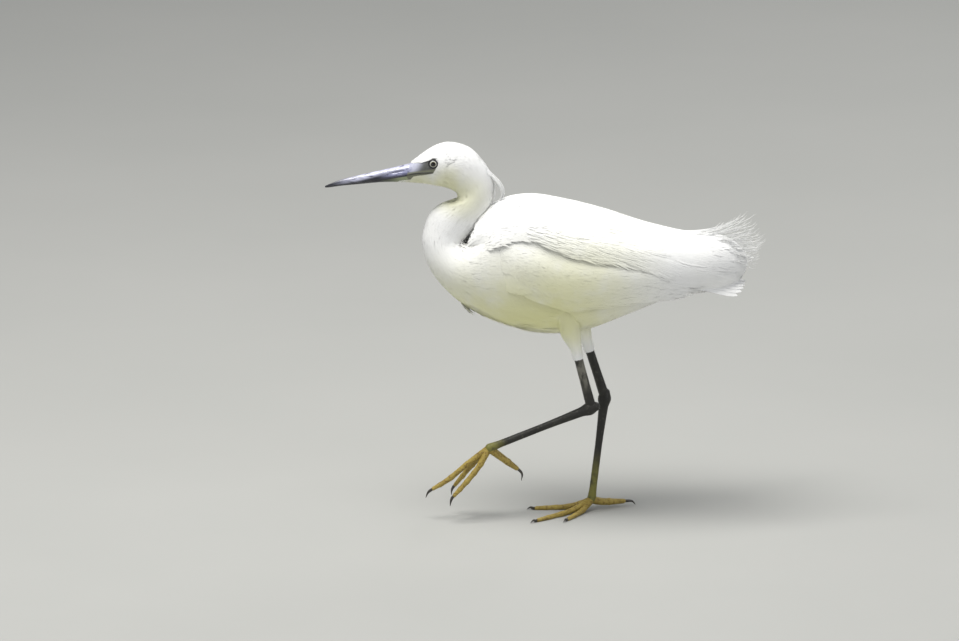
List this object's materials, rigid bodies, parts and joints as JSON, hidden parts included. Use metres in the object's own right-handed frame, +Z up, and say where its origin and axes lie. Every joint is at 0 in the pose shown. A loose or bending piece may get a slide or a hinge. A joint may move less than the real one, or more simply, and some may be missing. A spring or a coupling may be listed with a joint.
{
  "type": "life-size little egret model",
  "caption": "Life-size little egret standing mid-stride on one foot, the other raised, neck folded in an S, with slim bill, nape plumes and loose back plumes.",
  "frame": {"origin": "on the ground, below the middle of the box that holds the whole bird", "axes": "+Z up from the ground, -X the way the bird faces, -Y its left side, where the foot is raised"},
  "size_m": [0.4364, 0.099, 0.3849],
  "materials": {
    "plumage": "matte white feathers",
    "bill": "smooth slate-black horn, paler grey at the base",
    "eye": "wet, pale yellow iris with a black pupil",
    "leg": "scaled black skin",
    "foot": "scaled olive-yellow skin",
    "claw": "smooth black horn"
  },
  "bodies": {
    "root": {"head": "plumage", "eye_left": "eye", "eye_right": "eye", "bill_upper": "bill", "bill_lower": "bill", "neck_upper": "plumage", "neck_lower": "plumage", "torso": "plumage", "mantle": "plumage", "tail": "plumage", "wing_left": "plumage", "wing_right": "plumage", "thigh_left": "plumage", "shank_left": "leg", "tarsus_left": "leg", "toe_left_middle": "foot", "claw_left_middle": "claw", "toe_left_outer": "foot", "claw_left_outer": "claw", "toe_left_inner": "foot", "claw_left_inner": "claw", "toe_left_hallux": "foot", "claw_left_hallux": "claw", "thigh_right": "plumage", "shank_right": "leg", "tarsus_right": "leg", "toe_right_middle": "foot", "claw_right_middle": "claw", "toe_right_outer": "foot", "claw_right_outer": "claw", "toe_right_inner": "foot", "claw_right_inner": "claw", "toe_right_hallux": "foot", "claw_right_hallux": "claw"}
  },
  "joints": []
}
